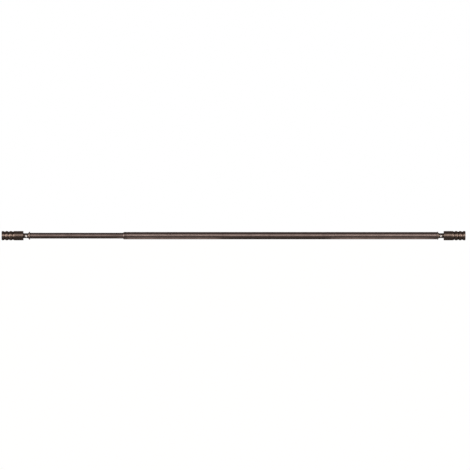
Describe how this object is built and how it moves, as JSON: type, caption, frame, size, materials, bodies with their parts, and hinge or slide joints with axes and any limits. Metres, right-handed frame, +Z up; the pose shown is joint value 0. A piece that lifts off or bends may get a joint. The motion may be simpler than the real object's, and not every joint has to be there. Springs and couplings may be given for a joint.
{
  "type": "telescoping curtain rod",
  "caption": "Telescoping curtain rod: a thin tube slides in a thicker one, with a ribbed barrel finial on a short neck at each end.",
  "frame": {"origin": "on the rod's axis, half way along its overall length as shown (closed 202.5 mm further or opened 303.5 mm further it is off the middle)", "axes": "+X along the rod from the inner tube's finial to the outer tube's finial, +Z up, -Y towards the room, where the set screws face"},
  "size_m": [1.0104, 0.0202, 0.0202],
  "materials": {
    "bronze_tube": "oil-rubbed bronze finish on rolled steel tube",
    "bronze_cast": "oil-rubbed bronze finish on turned metal",
    "zinc": "bright zinc plate",
    "nylon": "black moulded nylon"
  },
  "bodies": {
    "outer_rod": {"outer_tube": "bronze_tube", "mouth_ferrule": "bronze_cast", "mouth_liner": "nylon", "tube_adapter": "nylon", "right_end_plug": "nylon", "right_end_flange": "bronze_cast", "right_finial_post": "zinc"},
    "glide": {"inner_glide": "nylon"},
    "inner_rod": {"inner_tube": "bronze_tube", "left_end_plug": "nylon", "left_end_flange": "bronze_cast", "left_finial_post": "zinc"},
    "left_finial": {"left_finial_neck": "bronze_cast", "left_finial_barrel": "bronze_cast", "left_barrel_nut": "zinc", "left_finial_cap": "bronze_cast"},
    "left_screw": {"left_set_screw": "zinc"},
    "right_finial": {"right_finial_neck": "bronze_cast", "right_finial_barrel": "bronze_cast", "right_barrel_nut": "zinc", "right_finial_cap": "bronze_cast"},
    "right_screw": {"right_set_screw": "zinc"}
  },
  "joints": [
    {"name": "rod_slide", "type": "slide", "parent": "outer_rod", "child": "glide", "axis": [-1, 0, 0], "range_m": [-0.2025, 0.3035]},
    {"name": "inner_turn", "type": "hinge", "parent": "glide", "child": "inner_rod", "pos_m": [0, 0, 0], "axis": [1, 0, 0], "continuous": true},
    {"name": "left_finial_pull", "type": "slide", "parent": "inner_rod", "child": "left_finial", "axis": [-1, 0, 0], "range_m": [0, 0.0168]},
    {"name": "left_screw_out", "type": "slide", "parent": "left_finial", "child": "left_screw", "axis": [0, -0.9781, -0.2079], "range_m": [0, 0.0028]},
    {"name": "right_finial_pull", "type": "slide", "parent": "outer_rod", "child": "right_finial", "axis": [1, 0, 0], "range_m": [0, 0.0168]},
    {"name": "right_screw_out", "type": "slide", "parent": "right_finial", "child": "right_screw", "axis": [0, -0.9781, -0.2079], "range_m": [0, 0.0028]}
  ]
}
